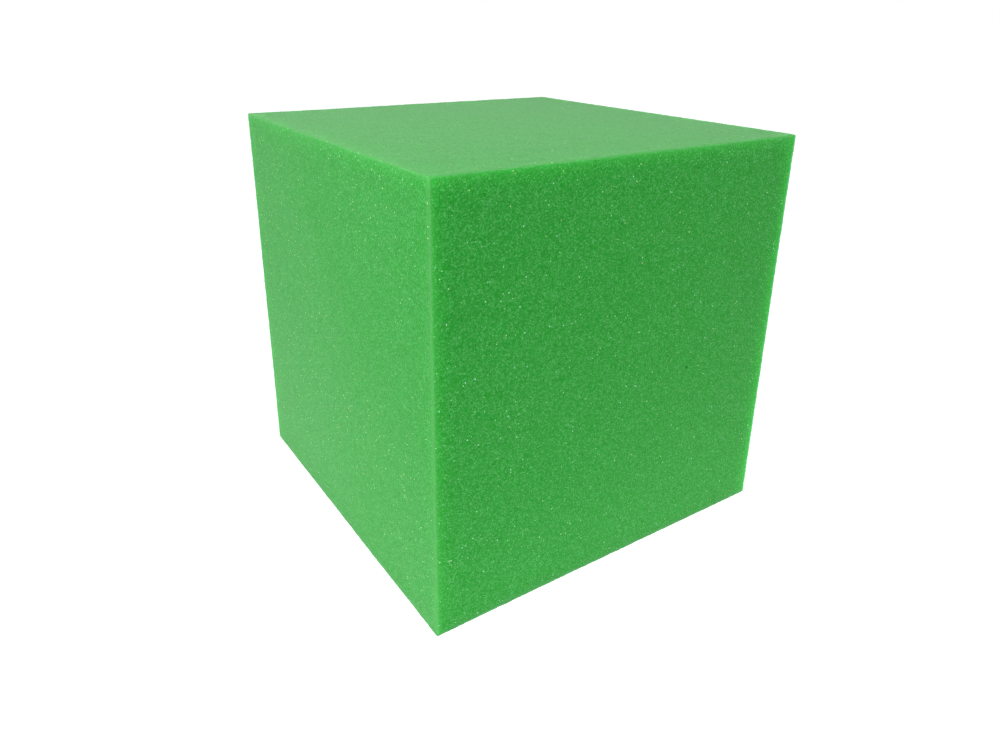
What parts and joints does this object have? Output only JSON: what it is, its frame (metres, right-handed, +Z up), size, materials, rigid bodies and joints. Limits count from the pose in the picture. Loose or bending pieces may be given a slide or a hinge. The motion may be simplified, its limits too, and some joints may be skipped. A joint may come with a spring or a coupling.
{
  "type": "foam cube",
  "caption": "Soft open-cell foam block cut to a cube, with flat sides and lightly softened edges, that rests on any side.",
  "frame": {"origin": "centre of the bottom face", "axes": "+Z up, out of the top face; +X and +Y along the level edges, so each face is square to an axis; the front face is the one towards -Y"},
  "size_m": [0.2, 0.2, 0.2],
  "materials": {
    "foam": "matte"
  },
  "bodies": {
    "root": {"foam_cube": "foam"}
  },
  "joints": []
}
